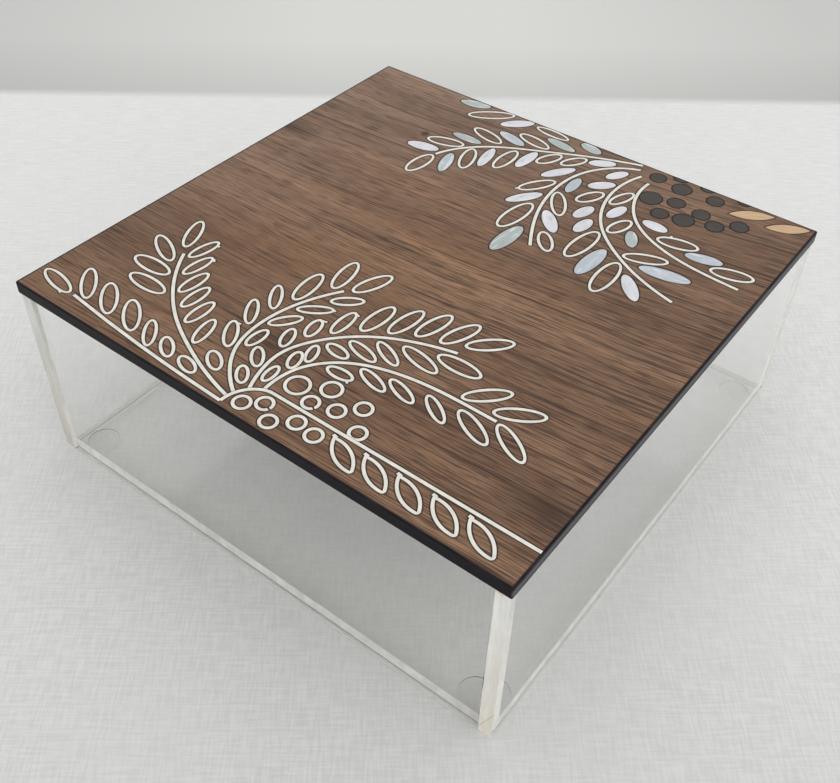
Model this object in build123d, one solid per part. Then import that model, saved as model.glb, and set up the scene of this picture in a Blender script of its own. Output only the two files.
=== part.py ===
from build123d import *
import os

# A low square box of clear acrylic with a lift-off lid. The lid is a dark
# board under a walnut top, inlaid with two sprays of leaves and berries.
# Millimetres, +Z up, origin at the centre of the footprint on the ground.
# -Y is the front and +X is the right-hand side.

# ---- Driving dimensions ------------------------------------------------------
LID_SIDE = 200.0
BOX_SIDE = 199.0
PANEL_T = 5.0
WALL_H = 74.0

FOOT_R = 6.0
FOOT_H = 1.5
FOOT_ROUND = 0.6
FOOT_INSET = 12.0

CORE_T = 3.0
TOP_T = 1.6
BAND_T = 0.6
BAND_ROUND = 0.35
CORNER_ROUND = 0.5

LOCATOR_SIDE = 12.0
LOCATOR_T = 4.0
LOCATOR_GAP = 0.5
LOCATOR_ROUND = 4.0

INLAY_DEPTH = 1.0
INLAY_PROUD = 0.05
GLUE_LINE = 0.15
RING_W = 1.2
STEM_W = 1.3
STEPS_PER_POINT = 5
TAIL_LENGTH = 1.8
TAIL_W = 0.9
SEAM_GAP = 0.4
SMALLEST_CHIP = 0.4

# ---- Sizes worked out from them ----------------------------------------------
RIM_Z = FOOT_H + WALL_H
TOP_Z = RIM_Z + CORE_T + TOP_T
BOARD_SIDE = LID_SIDE - 2 * BAND_T
INSIDE = BOX_SIDE - 2 * PANEL_T
INLAY_Z = TOP_Z - INLAY_DEPTH
INLAY_T = INLAY_DEPTH + INLAY_PROUD
BOARD_EDGE = BOARD_SIDE / 2
FRONT_LINE_Y = -85.6
JOIN = (-6.3, -97.6)

# ---- The near spray: strips bent into leaf outlines ---------------------------
# A stem is a list of points from its tip to its root.
# A leaf or ring is (centre x, centre y, length, width, tilt in degrees). Where the
# strip's end stands out of a ring, a tail (x, y, tilt) follows.
NEAR_STEMS = {
    "near_left_stem": [
        (-67.9, -53.8), (-60.6, -65), (-50, -75.5), (-42.6, -80.7), (-35, -84.8), (-20.9, -90.8), (-6, -95),
    ],
    "near_tall_stem": [
        (-11.3, -34.9), (-18.3, -48.3), (-21.6, -63.6), (-19.4, -77.8), (-11.5, -88.3), (-5.4, -92.8),
    ],
    "near_arched_stem": [
        (36.7, -36.3), (23.3, -40.4), (9.6, -47.8), (-1.5, -59.1), (-6.7, -70.9), (-6.1, -80), (-3, -89),
    ],
    "near_right_stem": [
        (63.1, -53.5), (43.1, -53.6), (23.8, -56.5), (11.2, -62.3), (2.2, -73.1), (0.5, -80),
        (0.6, -86.5),
    ],
}
LOW_STEM = [(-79.4, -92.3), (-42, -95.9), JOIN]
LOW_BEND = [JOIN, (-5.3, -92.3), (-3, -88.9), (0, -86.6), (3.8, FRONT_LINE_Y)]

LOW_RINGS = [
    (-89.5, -90.7, 17, 6, -12, (-84.4, -94, -20)), (-80.4, -85.2, 17, 6, -45), (-69, -86.2, 17, 6.5, -44),
    (-56.7, -87.4, 16.6, 6.5, -43), (-45.6, -89.7, 13.3, 5, -50), (-36.4, -90.9, 10.5, 5.2, -39),
    (-25.6, -92.7, 9.8, 5.2, -18),
]
LEFT_RINGS = [
    (-73.8, -43.7, 16.6, 6, -65), (-75.5, -55.7, 17, 6.2, -28), (-71.6, -65.1, 17, 7, 0),
    (-65.4, -72.9, 17.2, 6.8, -1), (-64.2, -47.9, 13.4, 5.3, 81, (-61.8, -43.6, 20)),
    (-59.1, -55.7, 13.4, 5.3, 84, (-57, -50.1, -42)),
    (-53.5, -63.1, 13.8, 5.6, 88), (-47.4, -68.1, 13.5, 5.5, 90), (-40.7, -72.7, 13.6, 5.5, 90),
    (-32.8, -78.4, 13.3, 5.3, -76), (-20.4, -86.1, 10, 5.5, -35),
]
TALL_RINGS = [
    (-16.6, -28.1, 16.8, 6.5, -80), (-22.2, -40.7, 16.8, 6.6, -84), (-26.9, -51.4, 13.2, 5, -56),
    (-27.9, -61.8, 13.3, 5, -56), (-25.4, -73.9, 13.4, 5.4, -55, (-26.9, -68.8, 12)),
    (-6.3, -25.9, 16.2, 6.5, 70), (-6.9, -38.3, 12, 5, 38), (-12.3, -48.2, 13, 4.8, 35, (-7.3, -44.7, -8)),
    (-16.1, -58.4, 12.2, 5, 53),
    (-17.5, -70.2, 10.3, 5, 88), (-11.2, -76.6, 10, 5, -49), (-9.3, -85.3, 8.8, 4.8, -49),
]
ARCHED_RINGS = [
    (-10, -64.1, 10, 5, -72), (-6.6, -55.5, 10, 5.2, -80, (-5.9, -50.8, 12)),
    (-0.8, -47.5, 13.4, 5.4, -88, (0.3, -41.7, -18)),
    (6.5, -39, 16.6, 6.6, 86), (14.7, -34.5, 16.5, 6.4, 82), (22.8, -30.3, 16.4, 6.4, 78),
    (31.9, -28.3, 16.3, 6.4, 70), (42.3, -26.6, 16.6, 6.2, 43), (-2.7, -79.7, 8.6, 4.4, -85),
    (-1.1, -70.5, 8.9, 5, -73), (1.1, -65, 9, 4.6, -71), (6.5, -59.1, 10, 5.2, -8),
    (12.7, -54.3, 13.3, 5.2, -13), (19.5, -50.2, 13.3, 5, -25), (29.1, -46.1, 16.5, 6, -13),
    (40.5, -40.9, 17, 6.7, 0),
]
RIGHT_RINGS = [
    (54.7, -46.1, 16.5, 6, 44), (67, -46.9, 16.8, 6.2, 30),
    (13.8, -66.5, 10.5, 5.2, 2, (17.8, -67.9, -50)),
    (23.5, -62.5, 13, 5, -17), (33.3, -60.8, 13, 5, -20), (45.9, -60.6, 13.2, 4.8, -33),
    (58.9, -59.8, 16.5, 6, -26), (71.2, -58.2, 17, 6, -31),
]

# Berries are (centre x, centre y, outer diameter).
RING_BERRIES = [
    (7.2, -78.4, 8.9), (16.5, -73.4, 7.7), (29.3, -73.8, 6.6), (23.6, -79.4, 6.6), (34.3, -82.5, 6.5),
    (-0.8, -94.2, 6.6), (10.8, -95.1, 6.5), (17.6, -90.3, 6.6), (24.9, -91.1, 6.6),
]
OPEN_BERRIES = [(15.2, -81.5, 6.5, -30), (4.9, -90.3, 6.5, -20)]

# The row of pointed leaves under the front line.
POINTED_CENTRES = [36.4, 48.1, 60, 72.3, 84.5]
POINTED_Y = -91.8
POINTED_LENGTH = 16.2
POINTED_WIDTH = 6.4
POINTED_TILT = -31
POINTED_TAIL_TILT = 22
POINTED_ROUND = 1.3

# ---- The far spray: strip stems, leaf outlines and solid shell leaves ---------
FAR_STEMS = {
    "far_left_stem": [(28.8, 98.7), (10.2, 91.5), (-10, 81.4), (-26.3, 71.7), (-36.8, 59.9), (-39.5, 53.8)],
    "far_down_stem": [
        (29.7, 95.2), (20, 89.1), (12.6, 77.8), (10.5, 63), (13.2, 47.3), (20, 31.5), (23, 26.2),
    ],
    "far_middle_stem": [
        (32.1, 91.5), (28.9, 79.4), (30.3, 65.7), (36.8, 52.5), (45.8, 43.8), (58.4, 35.9), (77.5, 29.2),
    ],
    "far_right_stem": [(36.7, 88.8), (37.3, 77.8), (45.2, 63.3), (58.8, 54.6), (74.6, 50.7), (92, 49.5)],
}

FAR_LEFT_RINGS = [
    (-39.6, 93.2, 20, 6.6, 36), (-11.8, 96.8, 16, 5.2, -3), (-14.3, 86.9, 15.8, 6.2, -10),
    (-31.4, 78.6, 15.9, 6.4, -13), (-41.9, 64, 15.9, 6.5, 17), (-40.5, 44.9, 16, 6.9, 86),
    (-27.8, 59.3, 15.9, 6.5, -72), (-15.8, 68.2, 16.4, 6.5, 89), (-2.6, 79.4, 12.5, 6, 64),
    (6.1, 83.8, 12.2, 5.6, 57),
]
FAR_LEFT_SHELLS = [
    (-50.1, 96.7, 13.8, 5.5, 13), (-27.3, 94.2, 14.6, 5.6, 43), (-4.5, 91.4, 14.2, 4.8, -8),
    (6.4, 96.7, 10.4, 5.3, -14), (-22.5, 82.9, 14, 5.1, -14), (-36.8, 71.6, 13.8, 4.6, 1),
    (-47, 55.6, 13.6, 5.7, 13), (-32.7, 51.7, 14.4, 5, -73), (-22.5, 64.7, 15, 4.6, -80),
    (-9.3, 73.4, 14.4, 5, 87), (15.5, 89.9, 11.2, 5, 33),
]
FAR_DOWN_RINGS = [
    (3.8, 60.6, 16.3, 6, 57, (-1, 54, 55)), (8.3, 38.8, 20.6, 7.8, 85), (16.9, 55, 16.3, 6.4, -56),
    (25.9, 31.7, 12.6, 6, -49),
]
FAR_DOWN_SHELLS = [
    (5.4, 73.4, 15, 5, 57), (4.5, 50.6, 15.3, 5, 56), (13.9, 24.8, 18.7, 6.6, 87),
    (14.7, 69.3, 11.5, 4.6, -86), (20.4, 43.3, 14.6, 5.5, -46),
]
FAR_MIDDLE_RINGS = [
    (23.8, 66.4, 12.9, 6.2, 62), (36.9, 38.7, 20.5, 7.6, 85), (53, 27.3, 20.2, 7.8, -88),
    (33.7, 73, 12.8, 5.6, 72), (42, 56.5, 12.4, 6.2, 73), (58.9, 45, 16.6, 6.2, 24),
]
FAR_MIDDLE_SHELLS = [
    (24.3, 86.1, 10.2, 4.8, 60), (23.2, 76.1, 11.2, 5.3, 44), (27, 56.3, 10.5, 5.3, 76),
    (31.3, 48.7, 10.6, 5.2, 84), (44.6, 31.7, 18.7, 6.4, 87), (62.6, 27.3, 14.8, 5.4, -47),
    (36.6, 64, 10.6, 5, 78), (49.2, 52.4, 10.4, 4.8, -60), (68.4, 41.2, 18.8, 6.2, 10),
]
FAR_RIGHT_RINGS = [(63.6, 60.3, 15.8, 6.8, 13, (59.7, 62.6, 75)), (86.7, 55.8, 15.9, 6.8, 15)]
FAR_RIGHT_SHELLS = [(52, 64.9, 10.5, 5.3, -4), (75, 57.9, 13.8, 5.5, 13)]

# Three of the dark berries run off the far edge of the lid.
DARK_BERRIES = [
    (37.6, 94.6, 6.3), (48.5, 93.2, 7.6), (62.1, 93.8, 6.5), (42, 80.4, 8.6), (51.1, 83.5, 6.7),
    (61.9, 82.3, 6.6), (76.4, 84, 6.7), (69.1, 78.5, 6.7), (58.3, 75, 8), (49.5, 73.3, 6.6),
    (44.9, 100.9, 7), (56.3, 100.5, 6.2), (71.2, 101, 6),
]
MAPLE_LEAVES = [(76.8, 94, 17.4, 5.9, 30), (90.8, 94.2, 16.8, 5.7, 31)]


# ---- Shapes of the inlaid pieces, drawn flat at z = 0 -------------------------
def place(shape, x, y, tilt):
    """Turn a flat shape by tilt and move it to x, y."""
    return Pos(x, y) * Rot(0, 0, tilt) * shape


def strip(points, grow=0.0):
    """A strip of even width that follows a smooth line through the points."""
    line = Spline(*points) if len(points) > 2 else Line(*points)
    half = Vector(STEM_W / 2 + grow, 0)
    steps = STEPS_PER_POINT * len(points)
    left_side = []
    right_side = []
    for step in range(steps + 1):
        share = step / steps
        heading = (line % share).get_signed_angle(Vector(1, 0), Vector(0, 0, -1))
        across = half.rotate(Axis.Z, heading + 90)
        left_side.append(line @ share + across)
        right_side.append(line @ share - across)
    sides = [Spline(*left_side), Spline(*right_side)]
    ends = [Line(left_side[0], right_side[0]), Line(left_side[-1], right_side[-1])]
    return Sketch() + make_face(sides + ends)


def oval(x, y, length, width, tilt, grow=0.0):
    """A solid oval leaf."""
    return place(Ellipse(length / 2 + grow, width / 2 + grow), x, y, tilt)


def ring(x, y, length, width, tilt, tail=None, grow=0.0):
    """A strip bent round into an oval outline, which may have a short tail."""
    outer = oval(x, y, length, width, tilt, grow)
    inner = Ellipse(length / 2 - RING_W - grow, width / 2 - RING_W - grow)
    if tail:
        outer = outer + place(Rectangle(TAIL_LENGTH + 2 * grow, TAIL_W + 2 * grow), *tail)
    return outer - place(inner, x, y, tilt)


def round_ring(x, y, diameter, grow=0.0):
    """A strip bent round into a circle."""
    return Pos(x, y) * (Circle(diameter / 2 + grow) - Circle(diameter / 2 - RING_W - grow))


def open_ring(x, y, diameter, seam, grow=0.0):
    """A round ring whose two ends stop short of each other at the seam angle."""
    gap = Pos(diameter / 2, 0) * Rectangle(diameter, SEAM_GAP - 2 * grow)
    return place(round_ring(0, 0, diameter, grow) - gap, x, y, seam)


def disc(x, y, diameter, grow=0.0):
    """A solid round berry."""
    return Pos(x, y) * Circle(diameter / 2 + grow)


def lens(length, width):
    """A leaf outline of two arcs that meet in a point at each end."""
    start = (-length / 2, 0)
    end = (length / 2, 0)
    upper = ThreePointArc(start, (0, width / 2), end)
    lower = ThreePointArc(end, (0, -width / 2), start)
    return Sketch() + make_face([upper, lower])


def solid_lens(x, y, length, width, tilt, grow=0.0):
    """A solid leaf, pointed at both ends."""
    return place(lens(length + 3 * grow, width + 2 * grow), x, y, tilt)


def pointed_ring(x, y, grow=0.0):
    """A strip bent into a leaf: round at its lower end, with a short tail at the upper one."""
    outer = lens(POINTED_LENGTH + 3 * grow, POINTED_WIDTH + 2 * grow)
    outer = fillet(outer.vertices().sort_by(Axis.X)[-1], POINTED_ROUND + grow)
    inner = lens(POINTED_LENGTH - 3 * RING_W - 3 * grow, POINTED_WIDTH - 2 * RING_W - 2 * grow)
    tail = Rot(0, 0, POINTED_TAIL_TILT) * Rectangle(TAIL_LENGTH + grow, RING_W + 2 * grow)
    tail = Pos(-POINTED_LENGTH / 2 + RING_W / 4, RING_W / 3) * tail
    return place(outer - inner + tail, x, y, POINTED_TILT)


def low_stem(grow=0.0):
    """The front line: a strip from the left, a tight bend, then straight to the lid's edge."""
    start_x = LOW_BEND[-1][0]
    run = BOARD_EDGE - start_x
    straight = Pos(start_x + run / 2, FRONT_LINE_Y) * Rectangle(run, STEM_W + 2 * grow)
    return strip(LOW_STEM, grow) + strip(LOW_BEND, grow) + straight


# ---- Laying the pieces into the lid ------------------------------------------
laid = []
pockets = {}
nodes = {}


def boxes_meet(first, second):
    """Whether the boxes round two flat shapes overlap."""
    a = first.bounding_box()
    b = second.bounding_box()
    return a.min.X < b.max.X and b.min.X < a.max.X and a.min.Y < b.max.Y and b.min.Y < a.max.Y


def lay(node, shape, rows):
    """Cut each piece back from its neighbours, and keep them all as one node."""
    board = Rectangle(BOARD_SIDE, BOARD_SIDE)
    solids = []
    pockets[node] = []
    for row in rows:
        piece = shape(*row)
        for neighbour in laid:
            if boxes_meet(piece, neighbour):
                piece = piece - neighbour
        piece = piece & board
        laid.append(piece)
        pockets[node] += shape(*row, grow=GLUE_LINE).faces()
        for face in piece.faces():
            if face.area > SMALLEST_CHIP:
                solids.append(extrude(Pos(0, 0, INLAY_Z) * face, INLAY_T, dir=(0, 0, 1)).solid())
    nodes[node] = Compound(solids)


def lay_near_spray():
    lay("near_low_stem", low_stem, [()])
    for name, points in NEAR_STEMS.items():
        lay(name, strip, [(points,)])
    lay("near_low_rings", ring, LOW_RINGS)
    lay("near_left_rings", ring, LEFT_RINGS)
    lay("near_tall_rings", ring, TALL_RINGS)
    lay("near_arched_rings", ring, ARCHED_RINGS)
    lay("near_right_rings", ring, RIGHT_RINGS)
    lay("near_round_rings", round_ring, RING_BERRIES)
    lay("near_open_rings", open_ring, OPEN_BERRIES)
    lay("near_pointed_rings", pointed_ring, [(x, POINTED_Y) for x in POINTED_CENTRES])


def lay_far_spray():
    for name, points in FAR_STEMS.items():
        lay(name, strip, [(points,)])
    lay("far_left_rings", ring, FAR_LEFT_RINGS)
    lay("far_left_shells", oval, FAR_LEFT_SHELLS)
    lay("far_down_rings", ring, FAR_DOWN_RINGS)
    lay("far_down_shells", oval, FAR_DOWN_SHELLS)
    lay("far_middle_rings", ring, FAR_MIDDLE_RINGS)
    lay("far_middle_shells", oval, FAR_MIDDLE_SHELLS)
    lay("far_right_rings", ring, FAR_RIGHT_RINGS)
    lay("far_right_shells", oval, FAR_RIGHT_SHELLS)
    lay("dark_berries", disc, DARK_BERRIES)
    lay("maple_leaves", solid_lens, MAPLE_LEAVES)


# ---- The lid board -------------------------------------------------------------
def make_lid_board():
    core_z = RIM_Z + CORE_T / 2
    nodes["lid_core"] = Pos(0, 0, core_z) * Box(BOARD_SIDE, BOARD_SIDE, CORE_T)
    top = Pos(0, 0, TOP_Z - TOP_T / 2) * Box(BOARD_SIDE, BOARD_SIDE, TOP_T)
    for faces in pockets.values():
        cuts = [extrude(Pos(0, 0, INLAY_Z) * face, 2 * INLAY_DEPTH, dir=(0, 0, 1)) for face in faces]
        top = top - cuts
    nodes["lid_walnut_top"] = top


def band(length, turn, ease_corners):
    """An edge strip along the lid, its outer edges eased, turned about Z."""
    height = CORE_T + TOP_T
    y = -(LID_SIDE - BAND_T) / 2
    piece = Pos(0, y, RIM_Z + height / 2) * Box(length, BAND_T, height)
    outer_face = piece.faces().sort_by(Axis.Y)[0]
    piece = fillet(outer_face.edges().filter_by(Axis.X), BAND_ROUND)
    if ease_corners:
        outer_face = piece.faces().sort_by(Axis.Y)[0]
        piece = fillet(outer_face.edges().filter_by(Axis.Z), CORNER_ROUND)
    return Rot(0, 0, turn) * piece


def make_lid_bands():
    nodes["lid_band_front"] = band(LID_SIDE, 0, True)
    nodes["lid_band_back"] = band(LID_SIDE, 180, True)
    nodes["lid_band_right"] = band(BOARD_SIDE, 90, False)
    nodes["lid_band_left"] = band(BOARD_SIDE, -90, False)


def make_locators():
    """Clear corner blocks under the lid that drop just inside the walls."""
    centre = INSIDE / 2 - LOCATOR_GAP - LOCATOR_SIDE / 2
    z = RIM_Z - LOCATOR_T / 2
    corners = {"front_left": 0, "front_right": 90, "back_right": 180, "back_left": 270}
    for corner, turn in corners.items():
        block = Box(LOCATOR_SIDE, LOCATOR_SIDE, LOCATOR_T)
        upright_edges = block.edges().filter_by(Axis.Z)
        inner_edge = upright_edges.sort_by(lambda edge: edge.center().X + edge.center().Y)[-1]
        block = fillet(inner_edge, LOCATOR_ROUND)
        nodes["lid_locator_" + corner] = Rot(0, 0, turn) * Pos(-centre, -centre, z) * block


# ---- The box ---------------------------------------------------------------------
def make_walls():
    """Two side walls run the full depth, and the front and back fit between them."""
    offset = (BOX_SIDE - PANEL_T) / 2
    z = FOOT_H + WALL_H / 2
    nodes["wall_left"] = Pos(-offset, 0, z) * Box(PANEL_T, BOX_SIDE, WALL_H)
    nodes["wall_right"] = Pos(offset, 0, z) * Box(PANEL_T, BOX_SIDE, WALL_H)
    nodes["wall_front"] = Pos(0, -offset, z) * Box(INSIDE, PANEL_T, WALL_H)
    nodes["wall_back"] = Pos(0, offset, z) * Box(INSIDE, PANEL_T, WALL_H)


def make_floor_panel():
    nodes["floor_panel"] = Pos(0, 0, FOOT_H + PANEL_T / 2) * Box(INSIDE, INSIDE, PANEL_T)


def make_feet():
    centre = BOX_SIDE / 2 - FOOT_INSET
    corners = {
        "front_left": (-1, -1),
        "front_right": (1, -1),
        "back_right": (1, 1),
        "back_left": (-1, 1),
    }
    for corner, (side_x, side_y) in corners.items():
        foot = Pos(side_x * centre, side_y * centre, FOOT_H / 2) * Cylinder(FOOT_R, FOOT_H)
        lower_edge = foot.edges().sort_by(Axis.Z)[0]
        nodes["foot_" + corner] = fillet(lower_edge, FOOT_ROUND)


lay_near_spray()
lay_far_spray()
make_lid_board()
make_lid_bands()
make_locators()
make_walls()
make_floor_panel()
make_feet()

os.makedirs("parts", exist_ok=True)
for name, shape in nodes.items():
    export_step(shape, "parts/" + name + ".step")
print(len(nodes), "nodes, overall height", TOP_Z + INLAY_PROUD)
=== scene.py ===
import math

import bmesh
import bpy
from bpy.props import FloatProperty, FloatVectorProperty, PointerProperty
from bpy.types import Operator, Panel, PropertyGroup
from mathutils import Matrix, Vector


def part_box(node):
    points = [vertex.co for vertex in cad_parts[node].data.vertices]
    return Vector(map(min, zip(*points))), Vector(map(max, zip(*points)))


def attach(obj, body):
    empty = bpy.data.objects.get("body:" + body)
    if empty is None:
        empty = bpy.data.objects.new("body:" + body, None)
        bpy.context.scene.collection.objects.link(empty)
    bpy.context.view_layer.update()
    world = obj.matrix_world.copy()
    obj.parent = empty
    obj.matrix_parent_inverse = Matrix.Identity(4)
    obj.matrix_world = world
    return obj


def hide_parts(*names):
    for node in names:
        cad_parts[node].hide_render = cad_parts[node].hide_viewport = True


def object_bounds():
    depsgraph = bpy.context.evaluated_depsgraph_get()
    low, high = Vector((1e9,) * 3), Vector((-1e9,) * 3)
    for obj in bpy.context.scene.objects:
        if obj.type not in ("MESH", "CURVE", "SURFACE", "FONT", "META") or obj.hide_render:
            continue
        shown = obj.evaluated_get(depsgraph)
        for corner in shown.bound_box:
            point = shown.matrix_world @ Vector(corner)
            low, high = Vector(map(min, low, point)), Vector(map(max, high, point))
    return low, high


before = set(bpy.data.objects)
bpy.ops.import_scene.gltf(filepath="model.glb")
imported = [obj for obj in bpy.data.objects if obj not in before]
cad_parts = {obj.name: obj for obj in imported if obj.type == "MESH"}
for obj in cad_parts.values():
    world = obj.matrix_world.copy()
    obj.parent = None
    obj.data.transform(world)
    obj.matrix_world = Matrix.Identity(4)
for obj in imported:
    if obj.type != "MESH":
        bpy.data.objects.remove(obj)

bl_info = {
    "name": "Inlaid Lid Box",
    "version": (1, 0, 0),
    "blender": (4, 5, 0),
    "location": "3D View > Sidebar > Inlaid Lid Box",
    "description": "Clear acrylic box with a lift-off walnut lid inlaid with leaf and berry sprays",
    "category": "Object",
}

CAD_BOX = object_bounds()
MM = 0.001

WALLS = ("wall_left", "wall_right", "wall_front", "wall_back")
CORNERS = ("front_left", "front_right", "back_right", "back_left")
SIDES = ("front", "right", "back", "left")
STRIP_ENDS = ("_stem", "_rings")
SHELLS = ("far_left_shells", "far_down_shells", "far_middle_shells", "far_right_shells")

# Where the cloth's soft fold runs behind the box: its direction in plan and its distance.
FOLD_DIRECTION = (-0.619, 0.7854)
FOLD_START = 0.261

# Round feet and corner blocks.
FOOT_SEGMENTS = 64
FOOT_RIM = 0.6 * MM
LOCATOR_CORNER = 4 * MM
LOCATOR_EASE = 0.2 * MM

# The floor's reach to each side, and the overhead light's place and width, in metres.
FLOOR_REACH = 3.0
KEY_PLACE = (0.3, 0.1, 1.5)
KEY_WIDTH = 2.0

# The surround's strength at the horizon, over that overhead, and how much the right side adds.
HORIZON_LIFT = 1.2
SIDE_LIFT = 0.42

# The order of a slab's finishes.
CLEAR, SAWN, JOINED, FLOOR_EDGE, UNDERSIDE, CREASE = range(6)

# Shell leaves whose lustre leans to blue or to green, by the place of their centre.
# The rest are a pale lilac white.
BLUE_SHELLS = [(-32.7, 51.7), (44.6, 31.7), (14.7, 69.3), (-22.5, 82.9), (75, 57.9), (68.4, 41.2)]
GREEN_SHELLS = [(-50.1, 96.7), (6.4, 96.7), (-36.8, 71.6), (-4.5, 91.4), (13.9, 24.8), (49, 52.6)]


# ---- Settings --------------------------------------------------------------------
def colour_setting(name, description, default):
    return FloatVectorProperty(
        name=name, description=description, default=default, subtype="COLOR", size=3, min=0, max=1
    )


def length_setting(name, description, default):
    return FloatProperty(
        name=name,
        description=description,
        default=default,
        min=0,
        unit="LENGTH",
        subtype="DISTANCE",
    )


class AcrylicSettings(PropertyGroup):
    """Sizes and colours of the clear box, its feet and the blocks under the lid."""

    edge_ease: length_setting(
        "Edge ease", "How far the acrylic sheet's sharp edges are rounded off", 0.25 * MM
    )
    joint_gap: length_setting(
        "Joint gap", "Room left between each sheet and its neighbour", 0.02 * MM
    )
    tint: colour_setting(
        "Acrylic tint",
        "Colour of what is seen through one face of the sheet",
        (0.996, 0.996, 0.993),
    )
    sawn_colour: colour_setting(
        "Sawn edge", "Colour of the frosted sawn edges", (0.96, 0.955, 0.92)
    )
    # Painted shade: the thin dark lines under the eased bottom edges.
    crease_shade_colour: colour_setting(
        "Eased edges",
        "Thin dark lines along the eased bottom edges of the sheets",
        (0.09, 0.085, 0.078),
    )
    floor_edge_colour: colour_setting(
        "Floor edge", "Cream colour of the floor's glued edge", (0.7, 0.67, 0.62)
    )
    bumper_colour: colour_setting(
        "Feet", "Colour of the soft clear feet", (0.97, 0.97, 0.96)
    )


class LidSettings(PropertyGroup):
    """Colours of the lid board and its inlay."""

    rim_ease: length_setting(
        "Strip rim ease", "How far the top rims of the inlaid strips are rounded off", 0.14 * MM
    )
    leaf_ease: length_setting(
        "Leaf rim ease", "How far the top rims of shell and wood leaves are rounded off", 0.25 * MM
    )
    walnut_light: colour_setting(
        "Walnut light", "Lightest part of the walnut's grain", (0.315, 0.184, 0.11)
    )
    walnut_dark: colour_setting(
        "Walnut dark", "Darkest part of the walnut's grain", (0.13, 0.07, 0.041)
    )
    walnut_pore: colour_setting(
        "Walnut pores", "Open pores and knots in the walnut", (0.035, 0.019, 0.013)
    )
    # Partly glue and dirt, partly painted shade down the eased rims.
    rim_glue_and_shade: colour_setting(
        "Inlay rim", "Glue and dirt down the eased rims of the inlaid pieces", (0.09, 0.06, 0.045)
    )
    # Also the colour of the painted shade round the pockets and down the dark berries' rims.
    pocket_colour: colour_setting(
        "Pocket", "Glue line round each inlaid piece", (0.02, 0.012, 0.009)
    )
    board_colour: colour_setting(
        "Board core", "Dyed board under the walnut", (0.03, 0.028, 0.03)
    )
    band_colour: colour_setting(
        "Edge band", "Charcoal band round the lid", (0.009, 0.0082, 0.0105)
    )
    strip_colour: colour_setting(
        "Strip", "Off-white strip of the stems and leaf outlines", (0.83, 0.81, 0.735)
    )
    lilac_shell: colour_setting(
        "Lilac shell", "Most of the shell leaves", (0.68, 0.68, 0.715)
    )
    blue_shell: colour_setting(
        "Blue shell", "Shell leaves that lean to blue", (0.46, 0.51, 0.56)
    )
    green_shell: colour_setting(
        "Green shell", "Shell leaves that lean to green", (0.4, 0.45, 0.43)
    )
    ebony_colour: colour_setting(
        "Dark berries", "Dark wood of the solid berries", (0.07, 0.06, 0.054)
    )
    maple_colour: colour_setting(
        "Pale leaves", "Golden wood of the two pale leaves", (0.7, 0.475, 0.28)
    )


class StageSettings(PropertyGroup):
    """Floor, light and camera."""

    floor_colour: colour_setting(
        "Floor", "Pale cloth that the box stands on", (0.8, 0.8, 0.785)
    )
    backdrop_colour: colour_setting(
        "Backdrop", "Cloth that starts behind the box", (0.685, 0.685, 0.665)
    )
    sky_strength: FloatProperty(
        name="Surround light",
        description="Strength of the even light from all round",
        default=0.91,
        min=0,
    )
    key_power: FloatProperty(
        name="Key light",
        description="Power of the large soft light overhead",
        default=2.0,
        min=0,
        unit="POWER",
    )
    camera_place: FloatVectorProperty(
        name="Camera place",
        description="Where the camera stands",
        default=(0.17117, -0.24028, 0.29856),
        size=3,
        unit="LENGTH",
        subtype="TRANSLATION",
    )
    camera_turn: FloatVectorProperty(
        name="Camera turn",
        description="How the camera is turned about X, Y and Z",
        default=(math.radians(46.0008), math.radians(-1.2944), math.radians(37.3596)),
        size=3,
        unit="ROTATION",
        subtype="EULER",
    )
    lens: FloatProperty(
        name="Lens",
        description="Focal length of the camera in mm",
        default=44.68,
        min=1,
        unit="CAMERA",
    )


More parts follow.
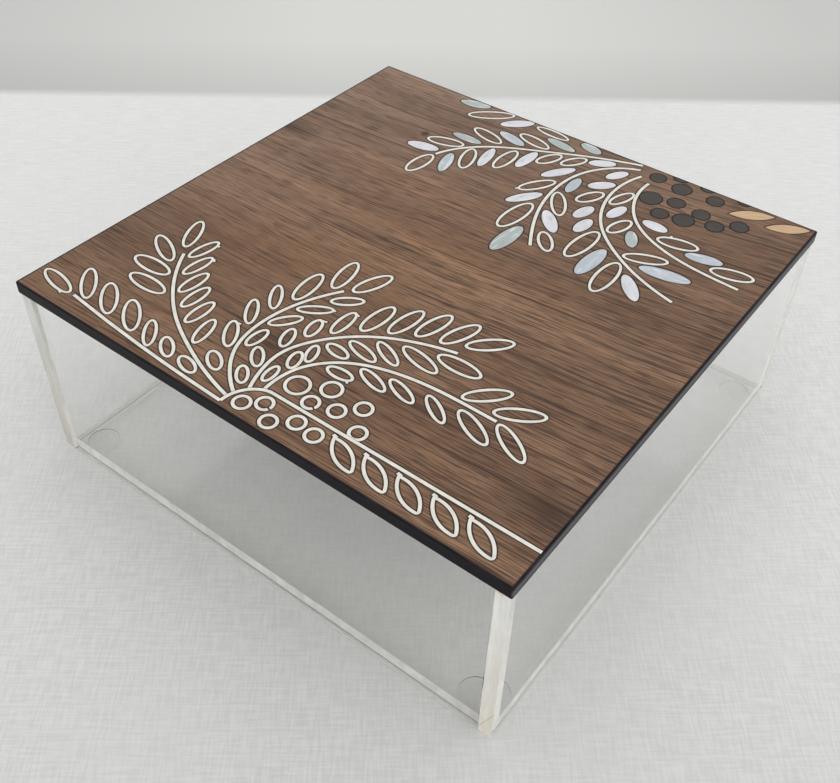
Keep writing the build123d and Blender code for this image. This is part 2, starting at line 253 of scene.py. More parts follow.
# ---- Building a finish from nodes --------------------------------------------------
class Finish:
    """A material, with short ways to add nodes and join them up."""

    def __init__(self, name):
        self.material = bpy.data.materials.new(name)
        self.material.use_nodes = True
        self.tree = self.material.node_tree
        self.tree.nodes.clear()
        self.output = self.tree.nodes.new("ShaderNodeOutputMaterial")
        self.place = self.add("TexCoord").outputs["Object"]

    def add(self, kind, values=None, **settings):
        """A node of that kind with its settings and the values or sockets of its inputs."""
        made = self.tree.nodes.new("ShaderNode" + kind)
        for key, value in settings.items():
            setattr(made, key, value)
        for key, value in (values or {}).items():
            self.feed(made.inputs[key], value)
        return made

    def feed(self, socket, value):
        if isinstance(value, bpy.types.NodeSocket):
            self.tree.links.new(value, socket)
        elif socket.type == "RGBA" and len(value) == 3:
            socket.default_value = (*value, 1)
        else:
            socket.default_value = value

    def sums(self, operation, first, second=0.0, third=0.0):
        """The result of a Math node."""
        values = {0: first, 1: second, 2: third}
        return self.add("Math", values, operation=operation).outputs[0]

    def scaled(self, scale, vector=None):
        """Object coordinates, or another vector, times scale."""
        values = {"Vector": vector or self.place, "Scale": scale}
        return self.add("Mapping", values).outputs[0]

    def noise(self, scale, detail=2.0, roughness=0.5, vector=None, distortion=0.0):
        """A noise whose grain is 1 / scale metres long in X, Y and Z, from about 0.3 to 0.7."""
        values = {
            "Vector": self.scaled(scale, vector),
            "Scale": 1.0,
            "Detail": detail,
            "Roughness": roughness,
            "Distortion": distortion,
        }
        return self.add("TexNoise", values).outputs[0]

    def between(self, value, low, high, to_low=0.0, to_high=1.0):
        """value from low..high spread over to_low..to_high and held there."""
        values = {0: value, 1: low, 2: high, 3: to_low, 4: to_high}
        return self.add("MapRange", values, clamp=True).outputs[0]

    def mix(self, factor, first, second, blend="MIX"):
        """A mix of two colours."""
        values = {0: factor, 6: first, 7: second}
        return self.add("Mix", values, data_type="RGBA", blend_type=blend).outputs[2]

    def spot(self, centre, radii):
        """1 in the middle of a level oval patch, and 0 from its rim outwards, in metres."""
        values = {
            "Vector": self.place,
            "Location": (*centre, CAD_BOX[1].z),
            "Scale": (*radii, 1.0),
        }
        inside = self.add("Mapping", values, vector_type="TEXTURE").outputs[0]
        return self.add("TexGradient", {0: inside}, gradient_type="SPHERICAL").outputs[1]

    def bump(self, height, distance, strength=1.0):
        values = {"Height": height, "Distance": distance, "Strength": strength}
        return self.add("Bump", values).outputs[0]

    def surface(self, **values):
        """A Principled shader. An input's name has an underscore for each space."""
        named = {key.replace("_", " "): value for key, value in values.items()}
        return self.add("BsdfPrincipled", named).outputs[0]

    def blend(self, factor, first, second):
        """A mix of two shaders."""
        return self.add("MixShader", {0: factor, 1: first, 2: second}).outputs[0]

    def done(self, shader):
        self.feed(self.output.inputs["Surface"], shader)
        return self.material


def lets_light_in(finish, shader, tint):
    """The shader, with plain tinted see-through for lamps and for light off matt things."""
    path = finish.add("LightPath").outputs
    through = finish.add("BsdfTransparent", {"Color": tint}).outputs[0]
    lit = finish.blend(path["Is Shadow Ray"], shader, through)
    return finish.blend(path["Is Diffuse Ray"], lit, through)


def times(colour, factor):
    """A colour times a factor."""
    return tuple(factor * part for part in colour)


# ---- Finishes ------------------------------------------------------------------------
def clear_acrylic(name, tint):
    """Polished cast sheet with faint handling marks."""
    made = Finish(name)
    smears = made.between(made.noise((40, 40, 25), detail=4), 0.5, 0.75, 0.0, 0.05)
    scratches = made.between(made.noise((900, 900, 60), detail=1), 0.68, 0.75, 0.0, 0.06)
    shader = made.surface(
        Base_Color=tint,
        Roughness=made.sums("MAXIMUM", smears, scratches),
        IOR=1.49,
        Transmission_Weight=1.0,
    )
    return made.done(lets_light_in(made, shader, tint))


def sawn_acrylic(name, colour):
    """A sheet's sawn edge: frosted, with saw marks and cloudy streaks, and painted shade that makes
    it darker and creamier low down and darker towards the left.
    """
    made = Finish(name)
    x, y, z = made.add("SeparateXYZ", {0: made.place}).outputs
    cloud = made.noise((300, 300, 40), detail=4, roughness=0.6, distortion=0.8)
    marks = made.noise((700, 700, 1500), detail=2)
    bright = made.mix(made.between(cloud, 0.38, 0.62), times(colour, 0.84), colour)
    shade = made.mix(made.between(marks, 0.62, 0.75, 0.0, 0.3), bright, (0.55, 0.53, 0.49))
    # Painted shade: darker and creamier towards the bottom, and darker towards the left.
    shaded_low = made.mix(1.0, shade, (0.88, 0.83, 0.75), "MULTIPLY")
    shade = made.mix(made.between(z, 0.0, CAD_BOX[1].z - 10 * MM, 1.0, 0.0), shade, shaded_low)
    shade = made.mix(made.between(x, -50 * MM, 50 * MM, 0.18, 0.0), shade, (0, 0, 0))

    # A hairline across the foot of the front right corner, and a speck of glue at its head.
    right, front, top = CAD_BOX[1].x, CAD_BOX[0].y, CAD_BOX[1].z
    across = made.sums("SUBTRACT", x, right - 5.5 * MM)
    up = made.sums("SUBTRACT", z, 4 * MM)
    off_line = made.sums("ABSOLUTE", made.sums("MULTIPLY_ADD", across, -2.4, up))
    in_front = made.between(y, front + 0.8 * MM, front + 1.5 * MM, 1.0, 0.0)
    in_corner = made.sums("MULTIPLY", in_front, made.between(across, -1 * MM, 0.0))
    line = made.between(off_line, 0.2 * MM, 0.8 * MM, 0.5, 0.0)
    shade = made.mix(made.sums("MULTIPLY", line, in_corner), shade, (0.4, 0.34, 0.28))
    speck = made.spot((right - 4.2 * MM, front + 0.5 * MM), (1.8 * MM, 1.8 * MM))
    speck = made.sums("MULTIPLY", speck, made.between(z, top - 6.4 * MM, top - 5.2 * MM))
    shade = made.mix(speck, shade, (0.72, 0.36, 0.25))
    shader = made.surface(
        Base_Color=shade,
        Roughness=made.between(cloud, 0.3, 0.7, 0.45, 0.62),
        IOR=1.49,
        Transmission_Weight=0.2,
        Normal=made.bump(marks, 0.00005, 0.6),
    )
    return made.done(lets_light_in(made, shader, (0.75, 0.74, 0.71)))


def joined_acrylic(name, colour, haze):
    """A face glued to its neighbour: see-through, with cloudy glue in places."""
    made = Finish(name)
    cloud = made.noise((160, 160, 90), detail=4, roughness=0.65)
    clear = made.add("BsdfTransparent", {"Color": (0.97, 0.97, 0.965)}).outputs[0]
    milky = made.add("BsdfDiffuse", {"Color": colour}).outputs[0]
    low, high = haze
    return made.done(made.blend(made.between(cloud, 0.35, 0.7, low, high), clear, milky))


def bumper_rubber(name, colour):
    """Soft clear plastic, very slightly cloudy."""
    made = Finish(name)
    cloud = made.noise((300, 300, 300), detail=2)
    shader = made.surface(
        Base_Color=colour,
        Roughness=made.between(cloud, 0.3, 0.7, 0.08, 0.12),
        IOR=1.1,
        Transmission_Weight=1.0,
    )
    return made.done(lets_light_in(made, shader, colour))


def dyed_board(name, colour):
    """Dyed fibreboard with a fine felted surface."""
    made = Finish(name)
    fibre = made.noise((1800, 1800, 3000), detail=4)
    wide = made.noise((60, 60, 60), detail=2)
    shade = made.mix(made.between(fibre, 0.4, 0.75), colour, times(colour, 2.2))
    shader = made.surface(
        Base_Color=made.mix(made.between(wide, 0.4, 0.7, 0.0, 0.4), shade, colour),
        Roughness=made.between(fibre, 0.3, 0.7, 0.6, 0.8),
        Normal=made.bump(fibre, 0.00004, 0.5),
    )
    return made.done(shader)


def charcoal_band(name, colour):
    """Painted edge band, matt, with pale dust specks, a worn rim and a painted sheen along the
    middle of one side.
    """
    made = Finish(name)
    grit = made.noise((2600, 2600, 2600), detail=2)
    cloud = made.noise((70, 70, 500), detail=3)
    x, y, z = made.add("SeparateXYZ", {0: made.place}).outputs
    low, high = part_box("lid_band_right")
    shade = made.mix(made.between(cloud, 0.35, 0.7), colour, times(colour, 1.6))
    shade = made.mix(made.between(grit, 0.66, 0.74, 0.0, 0.4), shade, (0.05, 0.047, 0.05))

    # Painted sheen: a lighter grey band along the middle of the right side's outer face.
    off_middle = made.sums("ABSOLUTE", made.sums("SUBTRACT", z, (low.z + high.z) / 2))
    painted_sheen = made.between(off_middle, 0.8 * MM, 1.5 * MM, 0.75, 0.0)
    painted_sheen = made.sums("MULTIPLY", painted_sheen, made.between(x, high.x - 0.5 * MM, high.x - 0.2 * MM))
    painted_sheen = made.sums("MULTIPLY", painted_sheen, made.between(cloud, 0.3, 0.5, 0.6, 1.0))
    shade = made.mix(painted_sheen, shade, (0.11, 0.107, 0.115))
    rim = made.between(z, high.z - 0.35 * MM, high.z - 0.1 * MM, 0.0, 0.25)
    worn = made.sums("MULTIPLY", rim, made.between(cloud, 0.45, 0.7))
    shader = made.surface(
        Base_Color=made.mix(worn, shade, (0.09, 0.065, 0.05)),
        Roughness=made.between(grit, 0.3, 0.7, 0.36, 0.5),
        Specular_IOR_Level=0.06,
        Normal=made.bump(made.sums("ADD", grit, cloud), 0.00003, 0.5),
    )
    return made.done(shader)


def walnut(name, settings):
    """Oiled walnut: straight grain along X that lifts to the right, with open pores."""
    made = Finish(name)
    x, y, z = made.add("SeparateXYZ", {0: made.place}).outputs

    # The grain's own coordinates: along it, and across it.
    fan = made.between(y, -0.09, 0.01, 0.04, 0.32)
    lift = made.sums("MULTIPLY", made.sums("POWER", made.sums("ADD", x, 0.1), 2.0), fan)
    wander = made.sums("SUBTRACT", made.noise((9, 15, 1), detail=1), 0.5)
    level = made.sums("MULTIPLY_ADD", wander, 0.007, made.sums("SUBTRACT", y, lift))
    grain = made.add("CombineXYZ", {0: x, 1: level, 2: 0.0}).outputs[0]

    broad = made.noise((5, 38, 1), detail=2, vector=grain)
    bands = made.noise((12, 190, 1), detail=3, roughness=0.55, vector=grain)
    fibre = made.noise((130, 2000, 1), detail=3, roughness=0.6, vector=grain)
    depth = made.sums("MULTIPLY_ADD", bands, 0.32, broad)
    depth = made.sums("MULTIPLY_ADD", fibre, 0.6, depth)
    darkest, lightest = 0.7, 1.22
    tone = made.between(depth, darkest, lightest)
    shade = made.mix(tone, settings.walnut_dark, settings.walnut_light)

    # Pale warm streaks: the centre and the radii of each.
    pale_streaks = [
        ((-0.01, 0.002), (0.085, 0.02)),
        ((-0.035, 0.03), (0.05, 0.014)),
        ((-0.04, -0.029), (0.06, 0.02)),
    ]
    for centre, radii in pale_streaks:
        warm = made.mix(1.0, shade, (1.28, 1.24, 1.16), "MULTIPLY")
        shade = made.mix(made.spot(centre, radii), shade, warm)

    # Open pores, short dashes and long lines, which crowd together in places and to the right.
    crowd = made.between(made.noise((12, 45, 1), vector=grain), 0.36, 0.64, -0.025, 0.012)
    crowd = made.sums("ADD", crowd, made.between(x, -0.06, 0.05, -0.022, 0.028))
    pores = made.sums("ADD", made.noise((36, 2000, 1), detail=0, vector=grain), crowd)
    dashes = made.sums("ADD", made.noise((120, 3000, 1), detail=0, vector=grain), crowd)
    open_pores = made.between(pores, 0.57, 0.67, 0.0, 0.6)
    shade = made.mix(open_pores, shade, settings.walnut_pore)
    shade = made.mix(made.between(dashes, 0.56, 0.66, 0.0, 0.6), shade, settings.walnut_pore)
    long_lines = made.sums("ADD", made.noise((9, 640, 1), detail=1, vector=grain), crowd)
    shade = made.mix(made.between(long_lines, 0.585, 0.67, 0.0, 0.6), shade, settings.walnut_pore)
    grit = made.noise((1900, 2600, 1), detail=1)
    shade = made.mix(made.between(grit, 0.56, 0.72, 0.0, 0.35), shade, settings.walnut_dark)

    # Painted sheen: paler and cooler towards the back left corner.
    far = made.between(made.sums("SUBTRACT", y, x), 0.0, 0.18, 0.0, 1.0)
    shade = made.mix(far, shade, made.mix(1.0, shade, (1.18, 1.32, 1.52), "MULTIPLY"))

    # Dark smudges and one small knot: the centre, the radii and the strength of each.
    smudges = [
        ((0.094, -0.073), (0.022, 0.009), 0.8),
        ((-0.098, 0.033), (0.018, 0.007), 0.8),
        ((-0.010, -0.070), (0.014, 0.009), 0.5),
        ((-0.02, -0.004), (0.06, 0.006), 0.5),
        ((0.03, 0.045), (0.07, 0.007), 0.35),
        ((-0.0519, 0.0636), (0.0022, 0.0022), 1.6),
    ]
    for centre, radii, strength in smudges:
        dark = made.sums("MULTIPLY", made.spot(centre, radii), strength)
        dark = made.sums("MINIMUM", dark, 0.8)
        shade = made.mix(dark, shade, settings.walnut_pore)

    # Darker rims round the pockets and at the panel's edge: partly glue and finish that soak into
    # the wood, partly painted shade.
    reach = {"Distance": 0.5 * MM}
    closeness = made.add("AmbientOcclusion", reach, inside=True, only_local=True, samples=6)
    soak_and_shade = made.between(closeness.outputs["AO"], 0.55, 0.97, 0.9, 0.0)
    shade = made.mix(soak_and_shade, shade, settings.pocket_colour)
    top = CAD_BOX[1].z
    in_pocket = made.between(z, top - 0.12 * MM, top - 0.08 * MM, 1.0, 0.0)
    shade = made.mix(in_pocket, shade, settings.pocket_colour)
    height = made.sums("SUBTRACT", made.sums("MULTIPLY", fibre, 0.4), open_pores)
    shader = made.surface(
        Base_Color=shade,
        Roughness=made.between(depth, darkest, lightest, 0.55, 0.45),
        Specular_IOR_Level=0.2,
        Normal=made.bump(height, 0.00008, 0.6),
    )
    return made.done(shader)


def rim_shade(made, shade, dark):
    """The shade, turning dark down the eased rim of an inlaid piece: partly glue that gathers
    there, partly painted shade.
    """
    height = made.add("SeparateXYZ", {0: made.place}).outputs[2]
    top = CAD_BOX[1].z
    # Partly glue, partly painted shade.
    glue = made.between(height, top - 0.06 * MM, top - 0.008 * MM, 0.92, 0.0)
    return made.mix(glue, shade, dark)


def bone_strip(name, colour, rim):
    """Off-white strip, matt, slightly mottled, with a little dirt in its surface."""
    made = Finish(name)
    mottle = made.noise((350, 350, 350), detail=3)
    grit = made.noise((3000, 3000, 3000), detail=1)
    shade = made.mix(made.between(mottle, 0.35, 0.7), times(colour, 0.84), colour)
    shade = made.mix(made.between(grit, 0.66, 0.75, 0.0, 0.35), shade, (0.42, 0.39, 0.33))
    shader = made.surface(
        Base_Color=rim_shade(made, shade, rim),
        Roughness=made.between(mottle, 0.3, 0.7, 0.38, 0.5),
        Specular_IOR_Level=0.3,
        Normal=made.bump(made.sums("ADD", mottle, grit), 0.00002, 0.5),
    )
    return made.done(shader)


def pearl_shell(name, settings):
    """Mother-of-pearl: each leaf leans to lilac, blue or green, with streaks along it."""
    made = Finish(name)
    tone = made.add("Attribute", attribute_name="lustre").outputs["Fac"]
    along = made.add("Attribute", attribute_name="leaf").outputs["Vector"]
    base = made.mix(made.between(tone, 0.0, 0.5), settings.lilac_shell, settings.blue_shell)
    base = made.mix(made.between(tone, 0.5, 1.0), base, settings.green_shell)
    swirl = made.noise((120, 240, 30), detail=3, vector=along, distortion=1.2)
    streaks = made.noise((110, 900, 30), detail=4, roughness=0.6, vector=along, distortion=0.5)
    warm = made.mix(made.between(swirl, 0.5, 0.72, 0.0, 0.45), base, (0.74, 0.68, 0.71))
    cool = made.mix(made.between(swirl, 0.28, 0.48, 0.45, 0.0), warm, (0.38, 0.46, 0.47))
    bright = made.mix(made.between(streaks, 0.55, 0.68, 0.0, 0.75), cool, (0.88, 0.9, 0.91))
    dark = made.mix(made.between(streaks, 0.3, 0.45, 0.55, 0.0), bright, (0.28, 0.32, 0.34))
    shader = made.surface(
        Base_Color=rim_shade(made, dark, settings.rim_glue_and_shade),
        Roughness=made.between(streaks, 0.3, 0.7, 0.16, 0.28),
        Specular_IOR_Level=0.35,
        Coat_Weight=0.3,
        Coat_Roughness=0.08,
        Normal=made.bump(streaks, 0.00003, 0.4),
    )
    return made.done(shader)


def fine_wood(name, colour, turn, contrast, rim):
    """A close-grained wood whose grain runs at the angle turn."""
    made = Finish(name)
    values = {"Vector": made.place, "Rotation": (0, 0, turn)}
    along = made.add("Mapping", values, vector_type="TEXTURE").outputs[0]
    lines = made.noise((110, 1500, 1), detail=3, roughness=0.6, vector=along)
    wide = made.noise((40, 300, 1), detail=2, vector=along)
    low = times(colour, 1 - contrast)
    shade = made.mix(made.between(lines, 0.35, 0.66), low, colour)
    shade = made.mix(made.between(wide, 0.4, 0.7, 0.0, 0.5), shade, low)
    shader = made.surface(
        Base_Color=rim_shade(made, shade, rim),
        Roughness=made.between(lines, 0.3, 0.7, 0.36, 0.5),
        Specular_IOR_Level=0.22,
        Normal=made.bump(lines, 0.00003, 0.5),
    )
    return made.done(shader)


def stage_cloth(name, colour, far_colour, fold):
    """Pale cloth with a faint weave. It starts afresh, a little darker, past a soft fold."""
    made = Finish(name)
    direction, start = fold
    x, y = made.add("SeparateXYZ", {0: made.place}).outputs[:2]
    run = made.sums("MULTIPLY_ADD", y, direction[1], made.sums("MULTIPLY", x, direction[0]))
    across = made.sums("MULTIPLY_ADD", y, -direction[0], made.sums("MULTIPLY", x, direction[1]))
    thread = made.add("CombineXYZ", {0: across, 1: run, 2: 0.0}).outputs[0]
    weft = made.noise((90, 1100, 1), detail=2, vector=thread)
    wide = made.noise((12, 12, 1), detail=3)

    # The warp fades with distance.
    warp = made.sums("SUBTRACT", made.noise((1150, 110, 1), detail=2, vector=thread), 0.5)
    warp = made.sums("MULTIPLY_ADD", warp, made.between(run, 0.04, 0.16, 1.0, 0.35), 0.5)
    weave = made.sums("ADD", weft, warp)
    shade = made.mix(made.between(weave, 0.8, 1.2), times(colour, 0.88), colour)
    shade = made.mix(made.between(wide, 0.4, 0.65, 0.0, 0.3), shade, times(colour, 0.97))

    # Painted shade: darker at the front, just past the fold, and out to both sides there.
    shade = made.mix(made.between(run, -0.21, -0.06, 0.16, 0.0), shade, (0, 0, 0))
    past = made.mix(made.between(run, start, start + 0.07, 0.14, 0.0), far_colour, (0, 0, 0))
    to_side = made.between(made.sums("ABSOLUTE", across), 0.06, 0.26, 0.0, 0.16)
    past = made.mix(to_side, past, (0, 0, 0))
    shade = made.mix(made.between(run, start - 0.004, start + 0.004), shade, past)
    shader = made.surface(
        Base_Color=shade,
        Roughness=0.9,
        Specular_IOR_Level=0.2,
        Normal=made.bump(weave, 0.00015, 0.4),
    )
    return made.done(shader)


# ---- Meshes --------------------------------------------------------------------------
def new_piece(name, mesh, body, finishes):
    """Make the mesh an object that rides on a body, with its finishes."""
    data = bpy.data.meshes.new(name)
    mesh.to_mesh(data)
    mesh.free()
    for finish in finishes:
        data.materials.append(finish)
    piece = bpy.data.objects.new(name, data)
    bpy.context.scene.collection.objects.link(piece)
    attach(piece, body)
    return piece


def ease_edges(mesh, edges, offset, segments=2):
    """Round off some edges of a mesh."""
    bmesh.ops.bevel(
        mesh,
        geom=edges,
        offset=offset,
        segments=segments,
        profile=0.5,
        affect="EDGES",
        material=-1,
    )


def block(low, high):
    """A plain block between two corners."""
    mesh = bmesh.new()
    matrix = Matrix.Translation((low + high) / 2) @ Matrix.Diagonal((*(high - low), 1))
    bmesh.ops.create_cube(mesh, size=1, matrix=matrix)
    return mesh


def cut_along(mesh, low, high):
    """Cut the mesh's faces along the six planes of another block."""
    for axis in range(3):
        normal = Vector((0, 0, 0))
        normal[axis] = 1
        for corner in (low, high):
            geometry = mesh.verts[:] + mesh.edges[:] + mesh.faces[:]
            bmesh.ops.bisect_plane(mesh, geom=geometry, plane_co=corner, plane_no=normal, dist=1e-7)


def inside(point, low, high):
    return all(low[i] < point[i] < high[i] for i in range(3))


def slab(name, sawn_axes, sawn_finish, finishes, settings):
    """One sheet of acrylic. Its faces along sawn_axes are frosted, but not where it is glued."""
    low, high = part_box(name)
    gap = Vector((1, 1, 1)) * settings.joint_gap
    mesh = block(low + gap, high - gap)
    ease_edges(mesh, mesh.edges[:], settings.edge_ease)
    neighbours = [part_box(n) for n in (*WALLS, "floor_panel") if n != name]
    for neighbour in neighbours:
        cut_along(mesh, *neighbour)
    for face in mesh.faces:
        squareness = max(abs(part) for part in face.normal)
        probe = face.calc_center_median() + face.normal * 4 * settings.joint_gap
        glued = any(inside(probe, *neighbour) for neighbour in neighbours)
        sawn = any(abs(face.normal[axis]) > 0.6 for axis in sawn_axes)
        underside = sawn_finish == SAWN and face.normal.z < -0.99
        # Eased edges that face down take the crease finish, whose dark lines are painted shade.
        if squareness < 0.99 and face.normal.z < -0.1:
            face.material_index = CREASE
        elif glued:
            face.material_index = FLOOR_EDGE if sawn_finish == FLOOR_EDGE else JOINED
        elif underside:
            face.material_index = UNDERSIDE
        elif sawn:
            face.material_index = SAWN
    piece = new_piece(name + "_sheet", mesh, "box", finishes)
    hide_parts(name)
    return piece


def eased_copy(node, ease):
    """A CAD node's mesh as one closed skin, with the rims of its top faces eased."""
    mesh = bmesh.new()
    mesh.from_mesh(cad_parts[node].data)
    bmesh.ops.remove_doubles(mesh, verts=mesh.verts[:], dist=1e-7)
    flat = math.radians(1)
    bmesh.ops.dissolve_limit(mesh, angle_limit=flat, verts=mesh.verts[:], edges=mesh.edges[:])
    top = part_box(node)[1].z - 0.01 * MM
    level = [e for e in mesh.edges if min(v.co.z for v in e.verts) > top]
    ease_edges(mesh, [e for e in level if e.calc_face_angle(0) > 1], ease)
    return mesh


def islands(mesh):
    """The separate solids of a mesh, each as a list of its vertices."""
    seen = set()
    for start in mesh.verts:
        if start in seen:
            continue
        group, reach = [], [start]
        seen.add(start)
        while reach:
            vertex = reach.pop()
            group.append(vertex)
            for edge in vertex.link_edges:
                other = edge.other_vert(vertex)
                if other not in seen:
                    seen.add(other)
                    reach.append(other)
        yield group


def near_any(centre, places):
    """Whether a centre is within 2 mm of one of the places, which are in mm."""
    return any((Vector((x, y)) * MM - centre).length < 2 * MM for x, y in places)


def long_axis(points, centre):
    """The direction in plan in which a set of points spreads most."""
    xx = sum((p.x - centre.x) ** 2 for p in points)
    yy = sum((p.y - centre.y) ** 2 for p in points)
    xy = sum((p.x - centre.x) * (p.y - centre.y) for p in points)
    turn = math.atan2(2 * xy, xx - yy) / 2
    return Vector((math.cos(turn), math.sin(turn)))


def inlay(node, finish, ease):
    """An inlaid node as a piece with eased rims."""
    piece = new_piece(node + "_eased", eased_copy(node, ease), "lid", [finish])
    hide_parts(node)


def give_finish(nodes, finish):
    """Give carried-over CAD nodes one finish."""
    for node in nodes:
        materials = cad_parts[node].data.materials
        materials.clear()
        materials.append(finish)


# ---- Operators -----------------------------------------------------------------------
class INLAIDBOX_OT_box(Operator):
    """Make the four walls and the floor as clear sheets with frosted sawn edges"""

    bl_idname = "inlaidbox.box"
    bl_label = "Walls and Floor"

    def execute(self, context):
        settings = context.scene.inlaid_box_acrylic
        finishes = [
            clear_acrylic("polished_acrylic", settings.tint),
            sawn_acrylic("sawn_acrylic", settings.sawn_colour),
            joined_acrylic("glued_wall_joint", settings.sawn_colour, (0.5, 0.75)),
            joined_acrylic("glued_floor_joint", settings.floor_edge_colour, (0.6, 0.85)),
            joined_acrylic("hazy_underside", settings.sawn_colour, (0.1, 0.3)),
            # Painted shade: thin dark lines on the eased edges that face down.
            joined_acrylic("eased_edge", settings.crease_shade_colour, (0.65, 0.95)),
        ]
        for side in ("left", "right"):
            slab("wall_" + side, (1, 2), SAWN, finishes, settings)
        for side in ("front", "back"):
            slab("wall_" + side, (0, 2), SAWN, finishes, settings)
        slab("floor_panel", (0, 1), FLOOR_EDGE, finishes, settings)
        return {"FINISHED"}


class INLAIDBOX_OT_feet(Operator):
    """Make the four soft feet under the floor"""

    bl_idname = "inlaidbox.feet"
    bl_label = "Feet"

    def execute(self, context):
        settings = context.scene.inlaid_box_acrylic
        finish = bumper_rubber("clear_bumper", settings.bumper_colour)
        for corner in CORNERS:
            low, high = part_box("foot_" + corner)
            radius = (high.x - low.x) / 2
            height = high.z - low.z - settings.joint_gap
            middle = Vector(((low.x + high.x) / 2, (low.y + high.y) / 2, low.z + height / 2))
            mesh = bmesh.new()
            bmesh.ops.create_cone(
                mesh,
                cap_ends=True,
                segments=FOOT_SEGMENTS,
                radius1=radius,
                radius2=radius,
                depth=height,
                matrix=Matrix.Translation(middle),
            )
            sharp = [e for e in mesh.edges if e.calc_face_angle(0) > 1]
            rim = [e for e in sharp if e.verts[0].co.z < middle.z]
            ease_edges(mesh, rim, FOOT_RIM, segments=6)
            for face in mesh.faces:
                face.smooth = abs(face.normal.z) < 0.99
            piece = new_piece("foot_pad_" + corner, mesh, "box", [finish])
            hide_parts("foot_" + corner)
        return {"FINISHED"}


class INLAIDBOX_OT_locators(Operator):
    """Make the clear corner blocks under the lid"""

    bl_idname = "inlaidbox.locators"
    bl_label = "Locator Blocks"

    def execute(self, context):
        settings = context.scene.inlaid_box_acrylic
        finish = clear_acrylic("locator_acrylic", settings.tint)
        for corner in CORNERS:
            low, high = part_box("lid_locator_" + corner)
            mesh = block(low, high - Vector((0, 0, settings.joint_gap)))
            upright = [e for e in mesh.edges if abs(e.verts[0].co.z - e.verts[1].co.z) > 1 * MM]
            inner = min(upright, key=lambda e: e.verts[0].co.xy.length)
            ease_edges(mesh, [inner], LOCATOR_CORNER, segments=12)
            ease_edges(mesh, [e for e in mesh.edges if e.calc_face_angle(0) > 0.5], LOCATOR_EASE)
            name = "locator_block_" + corner
            piece = new_piece(name, mesh, "lid", [finish])
            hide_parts("lid_locator_" + corner)
        return {"FINISHED"}


class INLAIDBOX_OT_board(Operator):
    """Finish the lid's dyed core and the charcoal bands round it"""

    bl_idname = "inlaidbox.board"
    bl_label = "Core and Edge Bands"

    def execute(self, context):
        settings = context.scene.inlaid_box_lid
        give_finish(["lid_core"], dyed_board("dyed_board", settings.board_colour))
        bands = ["lid_band_" + side for side in SIDES]
        give_finish(bands, charcoal_band("charcoal_paint", settings.band_colour))
        return {"FINISHED"}


class INLAIDBOX_OT_walnut(Operator):
    """Finish the walnut top"""

    bl_idname = "inlaidbox.walnut"
    bl_label = "Walnut Top"

    def execute(self, context):
        settings = context.scene.inlaid_box_lid
        give_finish(["lid_walnut_top"], walnut("oiled_walnut", settings))
        return {"FINISHED"}


class INLAIDBOX_OT_strips(Operator):
    """Make the off-white stems, leaf outlines and berry rings"""

    bl_idname = "inlaidbox.strips"
    bl_label = "Strips"

    def execute(self, context):
        settings = context.scene.inlaid_box_lid
        finish = bone_strip("bone_strip", settings.strip_colour, settings.rim_glue_and_shade)
        for node in sorted(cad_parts):
            if node.endswith(STRIP_ENDS):
                inlay(node, finish, settings.rim_ease)
        return {"FINISHED"}


class INLAIDBOX_OT_shells(Operator):
    """Make the mother-of-pearl leaves, each with its own lustre"""

    bl_idname = "inlaidbox.shells"
    bl_label = "Shell Leaves"

    def execute(self, context):
        settings = context.scene.inlaid_box_lid
        finish = pearl_shell("mother_of_pearl", settings)
        for node in SHELLS:
            mesh = eased_copy(node, settings.leaf_ease)
            lustre = mesh.verts.layers.float.new("lustre")
            leaf = mesh.verts.layers.float_vector.new("leaf")
            for group in islands(mesh):
                points = [v.co.xy for v in group]
                centre = sum(points, Vector((0, 0))) / len(points)
                tone = 0.5 * near_any(centre, BLUE_SHELLS) + 1.0 * near_any(centre, GREEN_SHELLS)
                along = long_axis(points, centre)
                across = Vector((-along.y, along.x))
                for vertex in group:
                    offset = vertex.co.xy - centre
                    vertex[lustre] = tone
                    vertex[leaf] = (offset.dot(along), offset.dot(across), centre.x + centre.y)
            piece = new_piece(node + "_pearl", mesh, "lid", [finish])
            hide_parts(node)
        return {"FINISHED"}


class INLAIDBOX_OT_woods(Operator):
    """Make the dark berries and the two pale leaves"""

    bl_idname = "inlaidbox.woods"
    bl_label = "Berries and Pale Leaves"

    def execute(self, context):
        settings = context.scene.inlaid_box_lid
        rim = settings.pocket_colour
        dark = fine_wood("dark_wood", settings.ebony_colour, math.radians(8), 0.45, rim)
        rim = settings.rim_glue_and_shade
        pale = fine_wood("maple_wood", settings.maple_colour, math.radians(30), 0.3, rim)
        inlay("dark_berries", dark, settings.leaf_ease)
        inlay("maple_leaves", pale, settings.leaf_ease)
        return {"FINISHED"}


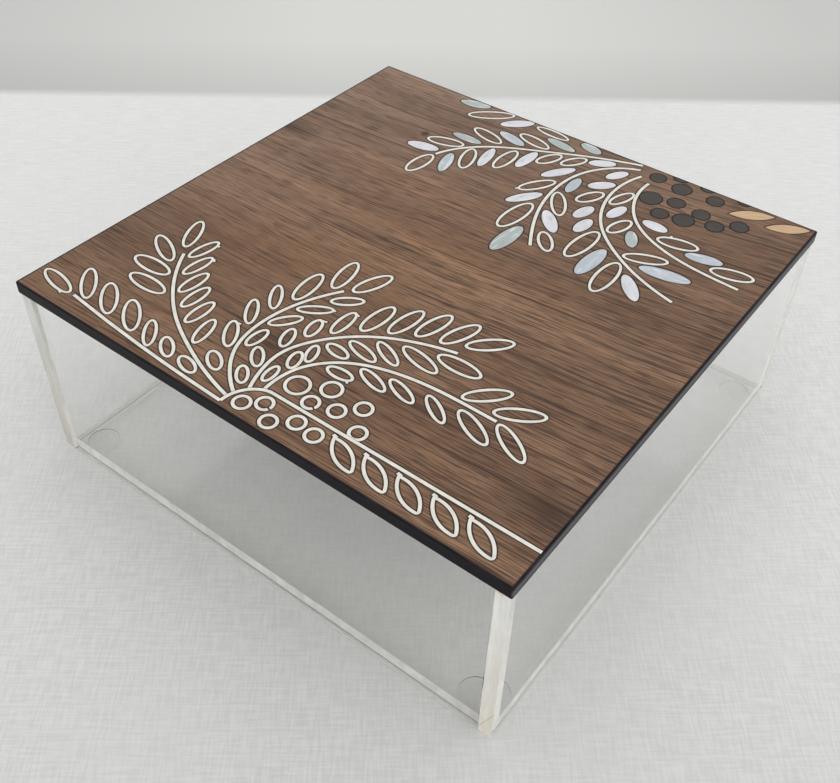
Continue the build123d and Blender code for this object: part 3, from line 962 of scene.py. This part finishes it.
class INLAIDBOX_OT_stage(Operator):
    """Make the floor, the backdrop cloth, the lights and the camera"""

    bl_idname = "inlaidbox.stage"
    bl_label = "Stage"

    def execute(self, context):
        settings = context.scene.inlaid_box_stage
        floor = self.sheet("floor", FLOOR_REACH)
        fold = (FOLD_DIRECTION, FOLD_START)
        cloth = stage_cloth("floor_cloth", settings.floor_colour, settings.backdrop_colour, fold)
        floor.data.materials.append(cloth)
        self.surround(context, settings)
        self.lamp("key_light", KEY_PLACE, KEY_WIDTH, settings.key_power)
        self.camera(context, settings)
        return {"FINISHED"}

    def sheet(self, name, reach):
        """A flat square sheet round the origin, with its reach to each side."""
        mesh = bmesh.new()
        bmesh.ops.create_grid(mesh, x_segments=1, y_segments=1, size=reach)
        data = bpy.data.meshes.new(name)
        mesh.to_mesh(data)
        mesh.free()
        made = bpy.data.objects.new(name, data)
        bpy.context.scene.collection.objects.link(made)
        return made

    def surround(self, context, settings):
        """Even light from all round, a little stronger near the horizon and from the right."""
        world = bpy.data.worlds.new("surround")
        world.use_nodes = True
        context.scene.world = world
        nodes = world.node_tree.nodes
        links = world.node_tree.links
        place = nodes.new("ShaderNodeTexCoord")
        split = nodes.new("ShaderNodeSeparateXYZ")
        fall = nodes.new("ShaderNodeMapRange")
        fall.inputs["From Min"].default_value = 0.0
        fall.inputs["From Max"].default_value = 0.9
        fall.inputs["To Min"].default_value = HORIZON_LIFT * settings.sky_strength
        fall.inputs["To Max"].default_value = settings.sky_strength
        side = nodes.new("ShaderNodeMath")
        side.operation = "MULTIPLY_ADD"
        side.inputs[1].default_value = SIDE_LIFT * settings.sky_strength
        links.new(place.outputs["Generated"], split.inputs[0])
        links.new(split.outputs[2], fall.inputs["Value"])
        links.new(split.outputs[0], side.inputs[0])
        links.new(fall.outputs[0], side.inputs[2])
        links.new(side.outputs[0], nodes["Background"].inputs["Strength"])
        nodes["Background"].inputs["Color"].default_value = (1, 1, 1, 1)

    def lamp(self, name, place, size, power):
        """A square soft light aimed at the middle of the box."""
        light = bpy.data.lights.new(name, "AREA")
        light.size = size
        light.energy = power
        made = bpy.data.objects.new(name, light)
        made.location = place
        centre = (CAD_BOX[0] + CAD_BOX[1]) / 2
        made.rotation_euler = (centre - Vector(place)).to_track_quat("-Z", "Y").to_euler()
        bpy.context.scene.collection.objects.link(made)

    def camera(self, context, settings):
        data = bpy.data.cameras.new("camera")
        data.sensor_width = 36
        data.lens = settings.lens
        data.clip_start = 0.01
        made = bpy.data.objects.new("camera", data)
        made.location = settings.camera_place
        made.rotation_euler = settings.camera_turn
        context.scene.collection.objects.link(made)
        context.scene.camera = made
        context.scene.view_settings.view_transform = "Standard"


class INLAIDBOX_PT_panel(Panel):
    """Lists the steps that make the box, with their settings"""

    bl_idname = "INLAIDBOX_PT_panel"
    bl_label = "Inlaid Lid Box"
    bl_space_type = "VIEW_3D"
    bl_region_type = "UI"
    bl_category = "Inlaid Lid Box"

    def draw(self, context):
        for name in SETTINGS:
            group = getattr(context.scene, name)
            column = self.layout.box().column()
            for key in group.__annotations__:
                column.prop(group, key)
        for step in STEPS:
            self.layout.operator(step.bl_idname)


SETTINGS = {
    "inlaid_box_acrylic": AcrylicSettings,
    "inlaid_box_lid": LidSettings,
    "inlaid_box_stage": StageSettings,
}
STEPS = (
    INLAIDBOX_OT_box,
    INLAIDBOX_OT_feet,
    INLAIDBOX_OT_locators,
    INLAIDBOX_OT_board,
    INLAIDBOX_OT_walnut,
    INLAIDBOX_OT_strips,
    INLAIDBOX_OT_shells,
    INLAIDBOX_OT_woods,
    INLAIDBOX_OT_stage,
)


def register():
    for made in (*SETTINGS.values(), *STEPS, INLAIDBOX_PT_panel):
        bpy.utils.register_class(made)
    for name, made in SETTINGS.items():
        setattr(bpy.types.Scene, name, PointerProperty(type=made))


def unregister():
    for name in SETTINGS:
        delattr(bpy.types.Scene, name)
    for made in (INLAIDBOX_PT_panel, *STEPS, *SETTINGS.values()):
        bpy.utils.unregister_class(made)


def main():
    register()
    for step in STEPS:
        family, name = step.bl_idname.split(".")
        getattr(getattr(bpy.ops, family), name)()


if __name__ == "__main__":
    main()
